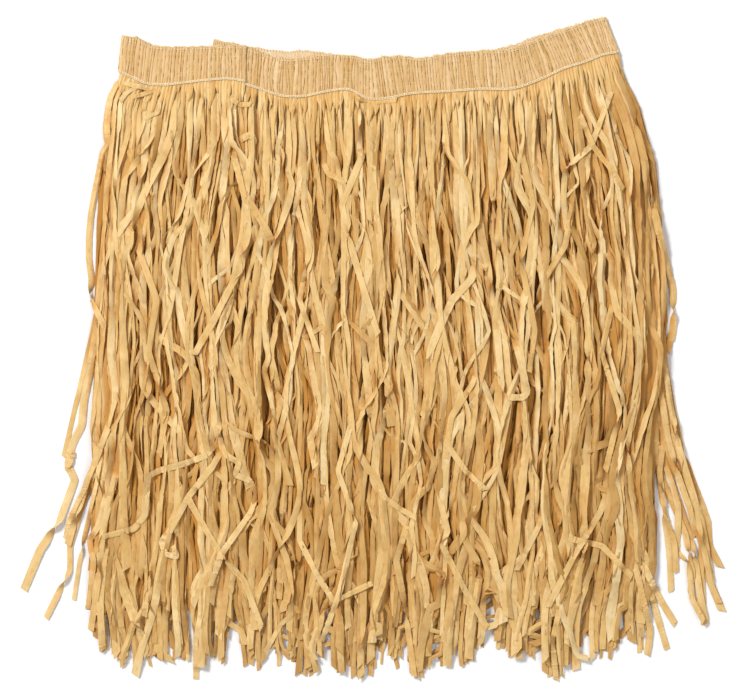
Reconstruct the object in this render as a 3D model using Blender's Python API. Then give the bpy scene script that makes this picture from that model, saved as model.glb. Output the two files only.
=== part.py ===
"""Grass skirt of paper raffia, laid flat with its front up and its waist towards +Y.

One long waistband strip is folded into a loop: its left end laps over its right end on the
front, and the back run lies on the floor. Four layers of grass hang from narrow root strips
just below the band's lower edge: two on the front and two on the back. Metres, +Z up.
"""

import math
from collections import namedtuple

import bmesh
import bpy
import numpy as np
from mathutils import Vector, noise

MM = 0.001

# Waistband
WALL = 1.6 * MM
FRONT_FLOOR = 2.5 * MM
LAP_LIFT = 1.95 * MM
LAP_RISE_END = -150 * MM
LAP_RISE_START = -195 * MM
RIDGE_HEIGHT = 0.6 * MM
RIDGE_PITCH = 3.7 * MM
RIDGE_VARIES = 0.25
LEFT_RIDGES = (-221 * MM, -116 * MM)
RIGHT_RIDGES = (-110 * MM, 211 * MM)
FOLD_STEPS = 4
BACK_STEP = 12 * MM

# Root strips and layers of grass, counted up from the floor
SEAM_GAP = 0.4 * MM
NEAR = 2.0 * MM
EDGE_STEP = 1.0 * MM
STRIP_DEPTH = 5.0 * MM
STRIP_THICK = 0.9 * MM
LAYER_GAP = 0.35 * MM
ROOT_PITCH = STRIP_THICK + LAYER_GAP
ROOT_LEFT = -224.0 * MM
ROOT_RIGHT = 214.0 * MM
HEM_Y = -262.0 * MM

# Grass ribbons
RIBBON_THICK = 0.9 * MM
ROOT_FILL = 0.74
BODY_WIDTH = 505 * MM
LANE_FILL = 0.70
NARROWEST = 3.4 * MM
WIDTH_VARIES = 0.16
FULL_SWAY_DOWN = 0.20
SWAY = 11.0 * MM
WANDER = 2.4 * MM
LEAST_GAP = 0.45 * MM
SLANT_ROOM = 1.08
MOST_ROLL = math.radians(34)
ROLL_ROOM = 0.85
SPREAD_PASSES = 60

# The layers sink together over this share of the width at each side, to this share of their rise
SIDE_SHARE = 0.10
SIDE_RISE = 0.3

# The hem: how far down ribbons end, its shallow notches and its raggedness
HEM_DOWN = 0.995
NOTCH = 0.022
RAGGED = 0.040
FRONT_SHORTER = 0.010
TIP_CLEAR = 0.025

SectionRow = namedtuple("SectionRow", "top_x top_y low_x low_y")

# The band's upper and lower edge, a row for each section, in millimetres
LEFT_FOLD = SectionRow(-220.6, 275.0, -223.3, 245.1)
RIGHT_FOLD = SectionRow(201.3, 291.7, 212.7, 262.2)
FRONT_LEFT = (
    SectionRow(-112.6, 266.2, -115.3, 236.7),
    SectionRow(-127.6, 266.4, -127.6, 238.5),
    SectionRow(-145.2, 266.2, -146.1, 237.6),
    SectionRow(-166.3, 265.3, -168.1, 235.1),
    SectionRow(-183.9, 265.8, -186.6, 233.6),
    SectionRow(-198.0, 268.0, -201.5, 235.0),
    SectionRow(-209.4, 274.0, -213.0, 240.2),
    LEFT_FOLD,
)
BACK = (
    LEFT_FOLD,
    SectionRow(-189.2, 266.2, -191.0, 236.3),
    SectionRow(-149.6, 264.0, -150.5, 234.5),
    SectionRow(-110.0, 265.8, -110.9, 235.4),
    SectionRow(-83.6, 261.8, -84.5, 231.9),
    SectionRow(-61.6, 262.7, -61.6, 232.8),
    SectionRow(-32.6, 258.7, -32.6, 228.8),
    SectionRow(22.0, 254.8, 22.9, 224.8),
    SectionRow(83.6, 259.2, 87.1, 229.2),
    SectionRow(118.8, 266.6, 125.8, 237.2),
    SectionRow(145.2, 276.3, 155.8, 247.7),
    SectionRow(178.6, 285.6, 190.1, 256.5),
    RIGHT_FOLD,
)
FRONT_RIGHT = (
    RIGHT_FOLD,
    SectionRow(188.2, 288.0, 200.5, 260.0),
    SectionRow(171.6, 282.0, 184.8, 253.9),
    SectionRow(154.0, 276.3, 166.3, 248.2),
    SectionRow(136.4, 270.2, 146.1, 238.9),
    SectionRow(117.0, 263.6, 122.3, 230.7),
    SectionRow(88.0, 261.8, 92.4, 229.9),
    SectionRow(59.0, 258.9, 61.6, 227.7),
    SectionRow(37.8, 255.9, 40.5, 226.6),
    SectionRow(23.8, 257.8, 28.2, 225.5),
    SectionRow(7.9, 256.5, 13.2, 222.2),
    SectionRow(-7.9, 254.1, -7.0, 221.8),
    SectionRow(-21.1, 258.3, -22.0, 229.2),
    SectionRow(-41.4, 258.3, -42.2, 227.7),
    SectionRow(-63.4, 256.3, -64.2, 223.5),
    SectionRow(-81.0, 255.6, -81.8, 224.0),
    SectionRow(-96.8, 259.6, -98.6, 229.2),
    SectionRow(-111.8, 265.3, -113.5, 234.1),
    SectionRow(-127.6, 269.3, -128.5, 239.4),
    SectionRow(-142.6, 272.4, -142.6, 243.3),
)

# The grass from the root strip (down 0) to the hem (down 1): its two sides in millimetres,
# and how far apart its layers lie
FlowRow = namedtuple("FlowRow", "down left right layer_pitch")
FLOW = (
    FlowRow(0.00, -223.0, 213.0, 1.25),
    FlowRow(0.06, -235.0, 229.0, 1.60),
    FlowRow(0.28, -241.0, 249.0, 3.10),
    FlowRow(0.52, -242.0, 257.0, 3.70),
    FlowRow(0.78, -245.0, 264.0, 3.10),
    FlowRow(1.08, -246.0, 246.0, 1.60),
)

# Ribbons that leave the body at its sides: millimetres from the middle at each distance down
StrayRow = namedtuple("StrayRow", "rank x28 x40 x52 x64 x78 tip_x tip_down")
LEFT_STRAYS = (
    StrayRow(0, -250.0, -247.0, -250.0, -266.0, -280.0, -306.0, 0.90),
    StrayRow(1, -243.5, -240.0, -244.0, -258.5, -262.0, -288.5, 0.95),
    StrayRow(2, -236.0, -234.0, -239.0, -252.0, -254.5, -267.0, 0.92),
)
RIGHT_STRAYS = (
    StrayRow(0, 252.0, 261.5, 263.0, 274.0, 292.0, 304.5, 0.94),
    StrayRow(1, 246.0, 254.5, 257.0, 268.0, 286.0, 302.5, 0.87),
    StrayRow(2, 240.0, 247.0, 251.0, 262.0, 278.5, 291.0, 0.96),
    StrayRow(3, 234.0, 240.5, 245.0, 255.5, 270.5, 275.0, 0.91),
)

TABLE_COLUMNS = {0.28: "x28", 0.40: "x40", 0.52: "x52", 0.64: "x64", 0.78: "x78"}
LAST_TABLED = 0.78

# Loose ribbons that cross over the front layer, by their lane from the left
LooseRow = namedtuple("LooseRow", "lane x28 x40 x52 x64 x78 tip_x tip_down")
LOOSE = (
    LooseRow(5, -217.0, -203.0, -196.0, -207.0, -224.0, -231.0, 0.97),
    LooseRow(16, -116.0, -137.0, -163.0, -168.0, -158.0, -104.0, 0.97),
    LooseRow(23, -84.0, -95.0, -106.0, -98.0, -84.0, -76.0, 1.03),
    LooseRow(31, -55.0, -41.0, -46.0, -60.0, -52.0, -38.0, 0.98),
    LooseRow(37, -27.0, -8.0, 3.0, 8.0, -2.0, -14.0, 1.02),
    LooseRow(44, 55.0, 66.0, 78.0, 62.0, 60.0, 96.0, 0.98),
    LooseRow(52, 99.0, 110.0, 128.0, 124.0, 112.0, 122.0, 1.01),
    LooseRow(60, 158.0, 147.0, 150.0, 163.0, 150.0, 137.0, 0.96),
    LooseRow(67, 197.0, 186.0, 178.0, 192.0, 184.0, 152.0, 0.94),
    LooseRow(72, 226.0, 221.0, 208.0, 204.0, 216.0, 224.0, 1.00),
)

# One row for each layer; level counts up from the floor
LayerRow = namedtuple("LayerRow", "name level count rings seed face colour")
FINE_RINGS = (0.0, 0.06, 0.16, 0.28, 0.40, 0.52, 0.64, 0.78, 1.08)
PLAIN_RINGS = (0.0, 0.06, 0.28, 0.52, 0.78, 1.08)
LAYERS = (
    LayerRow("grass_back_outer", 0, 54, PLAIN_RINGS, 11, "back", (0.46, 0.29, 0.12)),
    LayerRow("grass_back_inner", 1, 38, PLAIN_RINGS, 23, "back", (0.42, 0.26, 0.11)),
    LayerRow("grass_front_inner", 2, 58, PLAIN_RINGS, 37, "front", (0.50, 0.32, 0.14)),
    LayerRow("grass_front_outer", 3, 76, FINE_RINGS, 51, "front", (0.62, 0.41, 0.17)),
)
BAND_COLOUR = (0.66, 0.45, 0.20)
PAPER_ROUGHNESS = 0.62

Station = namedtuple("Station", "top low level out ridge")


def clear_scene():
    for obj in list(bpy.data.objects):
        bpy.data.objects.remove(obj, do_unlink=True)


def smooth_step(value):
    value = min(max(value, 0.0), 1.0)
    return value * value * (3 - 2 * value)


def waver(*place):
    """A smooth value from -1 to 1 that is the same for the same place."""
    return max(-1.0, min(1.0, 1.7 * noise.noise(Vector(place))))


def paper_material(name, colour):
    material = bpy.data.materials.new(name)
    material.use_nodes = True
    shader = material.node_tree.nodes["Principled BSDF"]
    shader.inputs["Base Color"].default_value = (*colour, 1.0)
    shader.inputs["Roughness"].default_value = PAPER_ROUGHNESS
    shader.inputs["Metallic"].default_value = 0.0
    return material


def make_object(name, bm, colour, parent):
    bmesh.ops.recalc_face_normals(bm, faces=bm.faces)
    mesh = bpy.data.meshes.new(name)
    bm.to_mesh(mesh)
    bm.free()
    mesh.materials.append(paper_material(name, colour))
    obj = bpy.data.objects.new(name, mesh)
    obj.parent = parent
    bpy.context.scene.collection.objects.link(obj)
    return obj


def read_edge(rows, spacing):
    """Sections along the rows at about this spacing, on a smooth curve, in metres."""
    points = np.array(rows) * MM
    steps = np.linalg.norm(np.diff(points[:, 2:], axis=0), axis=1)
    along = np.concatenate([[0.0], np.cumsum(steps)])
    slope = np.gradient(points, along, axis=0)
    count = max(2, round(along[-1] / spacing))
    sections = []
    for place in np.linspace(0.0, along[-1], count + 1):
        i = min(int(np.searchsorted(along, place, side="right")) - 1, len(steps) - 1)
        span = steps[i]
        t = (place - along[i]) / span
        held = (1 + 2 * t) * (1 - t) ** 2 * points[i] + t * t * (3 - 2 * t) * points[i + 1]
        turned = t * (1 - t) ** 2 * slope[i] - t * t * (1 - t) * slope[i + 1]
        sections.append(held + span * turned)
    return sections


def low_edge(*tables):
    """The lowest edge of the runs over each other, as x and y lists from left to right."""
    across = np.arange(ROOT_LEFT - NEAR, ROOT_RIGHT + NEAR, EDGE_STEP)
    lowest = np.full(len(across), np.inf)
    for rows in tables:
        line = np.array([section[2:] for section in read_edge(rows, EDGE_STEP)])
        line = line[np.argsort(line[:, 0])]
        inner = (across > line[0, 0]) & (across < line[-1, 0])
        height = np.interp(across, line[:, 0], line[:, 1])
        lowest = np.where(inner, np.minimum(lowest, height), lowest)
    known = np.isfinite(lowest)
    return across[known], lowest[known]


def flat_run(rows, spacing, level_of, out, ridged):
    stations = []
    for index, (top_x, top_y, low_x, low_y) in enumerate(read_edge(rows, spacing)):
        ridge = 0.0
        if ridged and index % 2 and low_x > ridged[0] and low_x < ridged[1]:
            uneven = waver(low_x / (11 * MM), 4.2, 0.7)
            ridge = RIDGE_HEIGHT * (1 - RIDGE_VARIES + RIDGE_VARIES * uneven)
        level = level_of(low_x)
        stations.append(Station((top_x, top_y), (low_x, low_y), level, (0.0, out), ridge))
    return stations


def folded_edge(row, side):
    """The half turn between the front and the back run; side is -1 at left, 1 at right."""
    middle = (FRONT_FLOOR + WALL) / 2
    radius = FRONT_FLOOR / 2
    stations = []
    for step in range(1, FOLD_STEPS):
        angle = math.pi / 2 + side * math.pi * step / FOLD_STEPS
        angle = -angle if side > 0 else angle
        out = (side * abs(math.cos(angle)), math.sin(angle))
        shift = out[0] * radius
        top = (row.top_x * MM + shift, row.top_y * MM)
        low = (row.low_x * MM + shift, row.low_y * MM)
        stations.append(Station(top, low, middle + out[1] * radius, out, 0.0))
    return stations


def front_level(_low_x):
    return FRONT_FLOOR + WALL / 2


def lap_level(low_x):
    rise = (low_x - LAP_RISE_START) / (LAP_RISE_END - LAP_RISE_START)
    return FRONT_FLOOR + WALL / 2 + LAP_LIFT * smooth_step(rise)


def back_level(_low_x):
    return WALL / 2


def build_waistband(parent):
    """One strip from the lapped end, round the left fold, the back and the right fold."""
    half = RIDGE_PITCH / 2
    stations = flat_run(FRONT_LEFT, half, lap_level, 1.0, LEFT_RIDGES)
    stations += folded_edge(LEFT_FOLD, -1)
    stations += flat_run(BACK, BACK_STEP, back_level, -1.0, None)
    stations += folded_edge(RIGHT_FOLD, 1)
    stations += flat_run(FRONT_RIGHT, half, front_level, 1.0, RIGHT_RIDGES)
    bm = bmesh.new()
    loops = []
    for station in stations:
        loop = []
        for (x, y), side in (
            (station.top, 1),
            (station.low, 1),
            (station.low, -1),
            (station.top, -1),
        ):
            reach = side * WALL / 2 + (station.ridge if side > 0 else 0.0)
            place = (
                x + station.out[0] * reach,
                y,
                station.level + station.out[1] * reach,
            )
            loop.append(bm.verts.new(place))
        loops.append(loop)
    for first, second in zip(loops, loops[1:]):
        for a in range(4):
            b = (a + 1) % 4
            bm.faces.new((first[a], first[b], second[b], second[a]))
    bm.faces.new(loops[0])
    bm.faces.new(loops[-1])
    return make_object("waistband", bm, BAND_COLOUR, parent)


def flow_at(down):
    rows = np.array(FLOW)
    return [float(np.interp(down, rows[:, 0], rows[:, c])) * MM for c in (1, 2, 3)]


def layer_pitch(x, down):
    """How far apart the layers lie at a place: less at the two sides, where they sink."""
    left, right, pitch = flow_at(down)
    across = (x - left) / (right - left)
    inward = smooth_step(min(across, 1 - across) / SIDE_SHARE)
    full = SIDE_RISE + (1 - SIDE_RISE) * inward
    return ROOT_PITCH + full * (pitch - ROOT_PITCH)


def lane_places(layer):
    """x of each ribbon at each ring: a shared sway, a small wander, and no two touching."""
    lanes = (np.arange(layer.count) + 0.5) / layer.count
    places = []
    for down in layer.rings:
        left, right, _ = flow_at(down)
        free = min(1.0, down / FULL_SWAY_DOWN)
        row = []
        for index, lane in enumerate(lanes):
            sway = SWAY * free * waver(lane * 5.5, down * 2.6, layer.level * 0.45)
            wander = WANDER * free * waver(index * 3.7, down * 7.0, layer.seed)
            x = left + lane * (right - left)
            row.append(x + sway * min(1.0, 9 * lane, 9 * (1 - lane)) + wander)
        places.append(np.array(row))
    return places


def strays_and_loose(layer, places):
    """Puts the front layer's strays and loose ribbons in, and returns the loose lanes."""
    if layer.rings is not FINE_RINGS:
        return {}, {}
    ends = {}
    loose = {}
    wanted = [(row.rank, row) for row in LEFT_STRAYS]
    wanted += [(layer.count - 1 - row.rank, row) for row in RIGHT_STRAYS]
    wanted += [(row.lane, row) for row in LOOSE]
    for index, row in wanted:
        for ring, down in enumerate(layer.rings):
            if down in TABLE_COLUMNS:
                places[ring][index] = getattr(row, TABLE_COLUMNS[down]) * MM
            elif down > LAST_TABLED:
                far = (down - LAST_TABLED) / (row.tip_down - LAST_TABLED)
                places[ring][index] = (row.x78 + (row.tip_x - row.x78) * far) * MM
        ends[index] = row.tip_down
        if isinstance(row, LooseRow):
            loose[index] = row
    return ends, loose


def keep_apart(layer, places, widths, loose):
    for ring, row in enumerate(places):
        gathered = layer.rings[ring] < FULL_SWAY_DOWN
        lying = [i for i in range(layer.count) if gathered or i not in loose]
        for _ in range(SPREAD_PASSES):
            for a, b in zip(lying, lying[1:]):
                need = SLANT_ROOM * (widths[a] + widths[b]) / 2 + LEAST_GAP
                short = need - (row[b] - row[a])
                if short > 0:
                    row[a] -= short / 2
                    row[b] += short / 2


def ribbon_rings(layer, index, places, width, end, root_y, loose):
    """Four corners for each ring of one ribbon below its root."""
    knots = [d for d in layer.rings[1:] if d < end - TIP_CLEAR] + [end]
    points = []
    for down in [0.0] + knots:
        x = float(np.interp(down, layer.rings, [row[index] for row in places]))
        points.append((x, root_y + (HEM_Y - root_y) * down))
    rings = []
    for k, down in enumerate(knots, start=1):
        x, y = points[k]
        ahead = points[min(k + 1, len(points) - 1)]
        behind = points[k - 1]
        run = Vector((ahead[0] - behind[0], ahead[1] - behind[1], 0)).normalized()
        across = Vector((-run.y, run.x, 0))
        level = layer.level
        if loose and down > layer.rings[1]:
            level += 1
        pitch = layer_pitch(x, down)
        wide = width * (0.94 + 0.08 * waver(index * 1.9, down * 9, layer.seed + 5))
        room = max(0.0, pitch - LAYER_GAP - RIBBON_THICK)
        roll = 0.0
        if layer.level > 0:
            most = min(MOST_ROLL, math.asin(min(1.0, ROLL_ROOM * room / wide)))
            roll = most * waver(index * 2.3, down * 6, layer.seed + 9)
        half = RIBBON_THICK / 2 * math.cos(roll) + wide / 2 * abs(math.sin(roll))
        z = level * pitch + half
        side = across * math.cos(roll) + Vector((0, 0, math.sin(roll)))
        up = Vector((0, 0, math.cos(roll))) - across * math.sin(roll)
        centre = Vector((x, y, z))
        corners = []
        for s, t in ((-1, -1), (1, -1), (1, 1), (-1, 1)):
            corners.append(centre + side * (s * wide / 2) + up * (t * RIBBON_THICK / 2))
        rings.append(corners)
    return rings


def ribbon_ends(layer):
    """How far down each ribbon reaches: a ragged hem in shallow notches."""
    ends = []
    for index in range(layer.count):
        lane = (index + 0.5) / layer.count
        notch = NOTCH * waver(lane * 17, layer.seed, 1.5)
        ragged = RAGGED * waver(index * 5.3, layer.seed, 7.1)
        shorter = FRONT_SHORTER if layer.rings is FINE_RINGS else 0.0
        ends.append(HEM_DOWN + notch + ragged - shorter)
    return ends


def join_rings(bm, ring, following):
    """The wide faces turn on the same diagonal, so that a twisted ribbon keeps its thickness."""
    for a, b in ((0, 1), (3, 2)):
        bm.faces.new((ring[a], ring[b], following[b]))
        bm.faces.new((ring[a], following[b], following[a]))
    for a, b in ((1, 2), (3, 0)):
        bm.faces.new((ring[a], ring[b], following[b], following[a]))


def build_grass(layer, edge, parent):
    """One layer: a narrow root strip along the band's lower edge and its ribbons."""
    edge_x, edge_y = edge
    cell = (ROOT_RIGHT - ROOT_LEFT) / layer.count
    lane_width = BODY_WIDTH / layer.count * LANE_FILL
    widths = []
    for index in range(layer.count):
        vary = 1.0 + WIDTH_VARIES * waver(index * 4.1, layer.seed, 2.2)
        widths.append(max(NARROWEST, lane_width * vary))
    places = lane_places(layer)
    table_ends, loose = strays_and_loose(layer, places)
    keep_apart(layer, places, widths, loose)
    ends = ribbon_ends(layer)

    def strip_back(x):
        near = np.interp([x - NEAR, x - NEAR / 2, x, x + NEAR / 2, x + NEAR], edge_x, edge_y)
        return float(near.min()) - SEAM_GAP

    low_z = layer.level * ROOT_PITCH
    bm = bmesh.new()

    def pair(x, y):
        return [bm.verts.new((x, y, z)) for z in (low_z, low_z + STRIP_THICK)]

    front_x = [ROOT_LEFT]
    for index in range(layer.count):
        middle = ROOT_LEFT + (index + 0.5) * cell
        front_x += [middle - ROOT_FILL * cell / 2, middle + ROOT_FILL * cell / 2]
    front_x.append(ROOT_RIGHT)
    front = [pair(x, strip_back(x) - STRIP_DEPTH) for x in front_x]
    turns = [0] + [2 * i for i in range(1, layer.count)] + [len(front) - 1]
    back = [pair(front_x[i], strip_back(front_x[i])) for i in turns]
    for g, (start, stop) in enumerate(zip(turns, turns[1:])):
        for z in (0, 1):
            chain = [front[i][z] for i in range(start, stop + 1)]
            bm.faces.new([back[g][z], *chain, back[g + 1][z]])
        bm.faces.new((back[g][0], back[g + 1][0], back[g + 1][1], back[g][1]))
    for i in range(0, len(front) - 1, 2):
        bm.faces.new((front[i][0], front[i + 1][0], front[i + 1][1], front[i][1]))
    bm.faces.new((back[0][0], front[0][0], front[0][1], back[0][1]))
    bm.faces.new((back[-1][0], front[-1][0], front[-1][1], back[-1][1]))

    for index in range(layer.count):
        left, right = front[2 * index + 1], front[2 * index + 2]
        ring = [left[0], right[0], right[1], left[1]]
        root_y = (left[0].co.y + right[0].co.y) / 2
        end = table_ends.get(index, ends[index])
        for corners in ribbon_rings(
            layer, index, places, widths[index], end, root_y, index in loose
        ):
            following = [bm.verts.new(corner) for corner in corners]
            join_rings(bm, ring, following)
            ring = following
        bm.faces.new(ring)
    return make_object(layer.name, bm, layer.colour, parent)


def centre_on_floor(root, objects):
    """Moves the empty so that the whole part's box stands centred on the origin."""
    places = [v.co for obj in objects for v in obj.data.vertices]
    low_x, high_x = min(p.x for p in places), max(p.x for p in places)
    low_y, high_y = min(p.y for p in places), max(p.y for p in places)
    root.location = (-(low_x + high_x) / 2, -(low_y + high_y) / 2, 0)


def main():
    clear_scene()
    root = bpy.data.objects.new("skirt_centre", None)
    bpy.context.scene.collection.objects.link(root)
    objects = [build_waistband(root)]
    edges = {
        "front": low_edge(FRONT_LEFT, FRONT_RIGHT),
        "back": low_edge(BACK),
    }
    for layer in LAYERS:
        objects.append(build_grass(layer, edges[layer.face], root))
    centre_on_floor(root, objects)
    bpy.context.view_layer.update()


main()
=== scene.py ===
import math

import bpy
import numpy as np
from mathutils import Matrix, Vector


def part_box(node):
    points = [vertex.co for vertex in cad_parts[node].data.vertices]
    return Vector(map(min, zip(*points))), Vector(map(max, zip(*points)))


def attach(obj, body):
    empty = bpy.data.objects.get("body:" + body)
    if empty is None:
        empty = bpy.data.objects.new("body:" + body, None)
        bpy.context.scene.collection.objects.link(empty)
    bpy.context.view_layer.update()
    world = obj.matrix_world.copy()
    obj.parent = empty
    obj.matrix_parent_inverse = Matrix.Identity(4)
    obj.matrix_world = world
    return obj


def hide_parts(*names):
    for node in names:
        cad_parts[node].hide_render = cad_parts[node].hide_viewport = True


# Grass skirt of paper raffia, laid flat with its front up and its waist at the top of the view.
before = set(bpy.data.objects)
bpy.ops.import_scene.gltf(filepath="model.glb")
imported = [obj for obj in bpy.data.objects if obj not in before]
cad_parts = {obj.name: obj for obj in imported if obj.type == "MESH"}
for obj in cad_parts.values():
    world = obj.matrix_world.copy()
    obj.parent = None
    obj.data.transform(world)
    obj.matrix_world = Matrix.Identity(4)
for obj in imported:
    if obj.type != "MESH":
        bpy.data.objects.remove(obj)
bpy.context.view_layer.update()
mm = 0.001

# The photograph's frame: its middle, and the real size of a pixel on the skirt
photo = {
    "width": 754,
    "height": 700,
    "middleX": 375.0,
    "middleY": 349.5,
    "pixel": 0.00088,
    "viewX": 377.0,
    "viewY": 350.0,
}

# The laid band, as the solids have it: its leftmost place and its highest corner
bandLow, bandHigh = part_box("waistband")
bandMarks = {"leftmost": -225.35 * mm, "highest": 291.7 * mm}
skirtShift = (bandLow.x - bandMarks["leftmost"], bandHigh.y - bandMarks["highest"])
print("skirt shift", [round(v / mm, 2) for v in skirtShift])

band = {
    "wall": 1.5 * mm,
    "frontTop": 4.1 * mm,
    "backLow": 0.25 * mm,
    "lapLift": 1.95 * mm,
    "lapFrom": -206 * mm,
    "lapTo": -160 * mm,
    "cutHeight": 32 * mm,
    "depth": 30 * mm,
    "floorGap": 0.02 * mm,
    "step": 0.72 * mm,
    "rows": 17,
    "foldSteps": 7,
    "pleat": 2.9 * mm,
    "ridgeColumns": (0.0, 0.17, 0.5, 0.83),
    "frontPleatHigh": 1.15 * mm,
    "backPleatHigh": 0.22 * mm,
    "underlapPleat": 0.35,
    "stitchRows": (0.13, 0.33, 0.53, 0.74),
}

# Upper and lower edge of the band in millimetres, a row for each section: topX, topY, lowX, lowY
leftFold = (-220.9, 275.0, -224.3, 245.1)
rightFold = (201.3, 291.7, 212.7, 262.2)
frontLeftRows = (
    (-112.6, 266.2, -113.6, 236.5),
    (-127.6, 266.4, -127.6, 238.5),
    (-145.2, 266.2, -146.1, 237.6),
    (-166.3, 265.3, -168.1, 235.1),
    (-183.9, 265.8, -186.6, 233.6),
    (-198.0, 268.0, -201.5, 235.0),
    (-209.4, 274.0, -213.0, 240.2),
    leftFold,
)
backRows = (
    leftFold,
    (-189.2, 266.2, -191.0, 236.3),
    (-149.6, 264.0, -150.5, 234.5),
    (-110.0, 265.8, -110.9, 235.4),
    (-83.6, 261.8, -84.5, 231.9),
    (-61.6, 262.7, -61.6, 232.8),
    (-32.6, 258.7, -32.6, 228.8),
    (22.0, 254.8, 22.9, 224.8),
    (83.6, 259.2, 87.1, 229.2),
    (118.8, 266.6, 125.8, 237.2),
    (145.2, 276.3, 155.8, 247.7),
    (178.6, 285.6, 190.1, 256.5),
    rightFold,
)
frontRightRows = (
    rightFold,
    (188.2, 288.0, 200.5, 260.0),
    (171.6, 282.0, 184.8, 253.9),
    (154.0, 276.3, 166.3, 248.2),
    (136.4, 270.2, 146.1, 238.9),
    (117.0, 263.6, 122.3, 230.7),
    (88.0, 261.8, 92.4, 229.9),
    (59.0, 258.9, 61.6, 227.7),
    (37.8, 255.9, 40.5, 226.6),
    (23.8, 257.8, 28.2, 225.5),
    (7.9, 256.5, 13.2, 222.2),
    (-7.9, 254.1, -7.0, 221.8),
    (-21.1, 258.3, -22.0, 229.2),
    (-41.4, 258.3, -42.2, 227.7),
    (-63.4, 256.3, -64.2, 223.5),
    (-81.0, 255.6, -81.8, 224.0),
    (-96.8, 259.6, -98.6, 229.2),
    (-111.8, 265.3, -113.5, 234.1),
    (-127.6, 269.3, -128.5, 239.4),
    (-141.6, 272.2, -146.8, 243.3),
)

# The two sides of the grass from the band (down 0) to the hem (down 1), in millimetres
fan = {
    "down": (0.00, 0.05, 0.10, 0.15, 0.20, 0.30, 0.40, 0.52, 0.60, 0.66, 0.74, 0.80, 0.88, 0.96),
    "left": (-221, -232, -234, -237, -239, -240, -240, -240, -243, -240, -241, -242, -245, -241),
    "right": (212, 219, 230, 237, 244, 247, 250, 250, 246, 239, 236, 240, 240, 231),
    "rootTop": 3.4 * mm,
    "fall": 520 * mm,
    "longest": 620 * mm,
}


def deselectAll():
    bpy.ops.object.select_all(action="DESELECT")


def onSkirt(points):
    return np.array(points, float) + np.array(skirtShift)


def fromPixels(points):
    points = np.array(points, float)
    x = (points[:, 0] - photo["middleX"]) * photo["pixel"]
    y = (photo["middleY"] - points[:, 1]) * photo["pixel"]
    return onSkirt(np.stack([x, y], axis=1))


def easeIn(value):
    value = np.clip(value, 0.0, 1.0)
    return value * value * (3 - 2 * value)


def readEdge(rows, spacing):
    # a smooth curve through the rows, read at even steps of the lower edge
    points = np.array(rows, float) * mm
    points[:, 0:2] = onSkirt(points[:, 0:2])
    points[:, 2:4] = onSkirt(points[:, 2:4])
    steps = np.linalg.norm(np.diff(points[:, 2:], axis=0), axis=1)
    along = np.concatenate([[0.0], np.cumsum(steps)])
    slope = np.gradient(points, along, axis=0)
    place = np.linspace(0.0, along[-1], max(2, round(along[-1] / spacing)) + 1)
    i = np.clip(np.searchsorted(along, place, side="right") - 1, 0, len(steps) - 1)
    span = steps[i][:, None]
    t = (place - along[i])[:, None] / span
    held = (1 + 2 * t) * (1 - t) ** 2 * points[i] + t * t * (3 - 2 * t) * points[i + 1]
    turned = t * (1 - t) ** 2 * slope[i] - t * t * (1 - t) * slope[i + 1]
    return held + span * turned


def lowEdge(tables):
    # the lowest lower edge of the runs that lie over each other
    across = np.arange(-0.235, 0.235, mm)
    lowest = np.full(len(across), np.inf)
    for rows in tables:
        line = readEdge(rows, mm)[:, 2:]
        line = line[np.argsort(line[:, 0])]
        inner = (across > line[0, 0]) & (across < line[-1, 0])
        height = np.interp(across, line[:, 0], line[:, 1])
        lowest = np.where(inner, np.minimum(lowest, height), lowest)
    known = np.isfinite(lowest)
    return across[known], lowest[known]


def foldTurn(section, side):
    # the outer face round a side fold, from the front's level down to the back's
    top, low = onSkirt(np.array([section[:2], section[2:]]) * mm)
    middle = (band["frontTop"] + band["backLow"]) / 2
    reach = (band["frontTop"] - band["backLow"]) / 2
    turns = np.linspace(0, np.pi, band["foldSteps"] + 2)[1:-1]
    rows = []
    for turn in turns:
        out = side * reach * np.sin(turn)
        rows.append((top[0] + out, top[1], low[0] + out, low[1], middle + reach * np.cos(turn)))
    return np.array(rows)


def bandStations():
    # the band's outer face, end to end: lapped end, left fold, back, right fold, underlap end
    frontLeft = readEdge(frontLeftRows, band["step"])
    lift = band["lapLift"] * easeIn(
        (frontLeft[:, 2] - skirtShift[0] - band["lapFrom"]) / (band["lapTo"] - band["lapFrom"])
    )
    back = readEdge(backRows, band["step"])
    frontRight = readEdge(frontRightRows, band["step"])
    parts = (
        np.column_stack([frontLeft, band["frontTop"] + lift]),
        foldTurn(leftFold, -1),
        np.column_stack([back, np.full(len(back), band["backLow"])]),
        foldTurn(rightFold, 1)[::-1],
        np.column_stack([frontRight, np.full(len(frontRight), band["frontTop"])]),
    )
    kinds = [np.full(len(part), kind) for part, kind in zip(parts, (0, 1, 2, 3, 4))]
    return np.concatenate(parts), np.concatenate(kinds)


frontEdge = lowEdge((frontLeftRows, frontRightRows))
backEdge = lowEdge((backRows,))


def smoothNoise(rng, count, knots, rows):
    # a smooth random line for each ribbon, about -1 to 1, with this many turns along it
    values = rng.normal(0.0, 0.5, (count, knots + 3))
    place = np.linspace(0.0, knots - 1e-6, rows)
    i = place.astype(int)
    t = place - i
    before, here, after, later = (values[:, i + k] for k in range(4))
    return here + 0.5 * t * (
        after - before
        + t * (2 * before - 5 * here + 4 * after - later + t * (3 * (here - after) + later - before))
    )


# Heights of what lies on the floor so far, on a square grid
pile = {
    "cell": 1.25 * mm,
    "halfX": 0.345,
    "halfY": 0.33,
    "tallest": 16 * mm,
    "loose": 18 * mm,
    "ledge": 2.3 * mm,
}
pile["nx"] = int(2 * pile["halfX"] / pile["cell"]) + 1
pile["ny"] = int(2 * pile["halfY"] / pile["cell"]) + 1
pile["top"] = np.zeros((pile["ny"], pile["nx"]))
pile["seen"] = np.zeros((pile["ny"], pile["nx"]))


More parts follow.
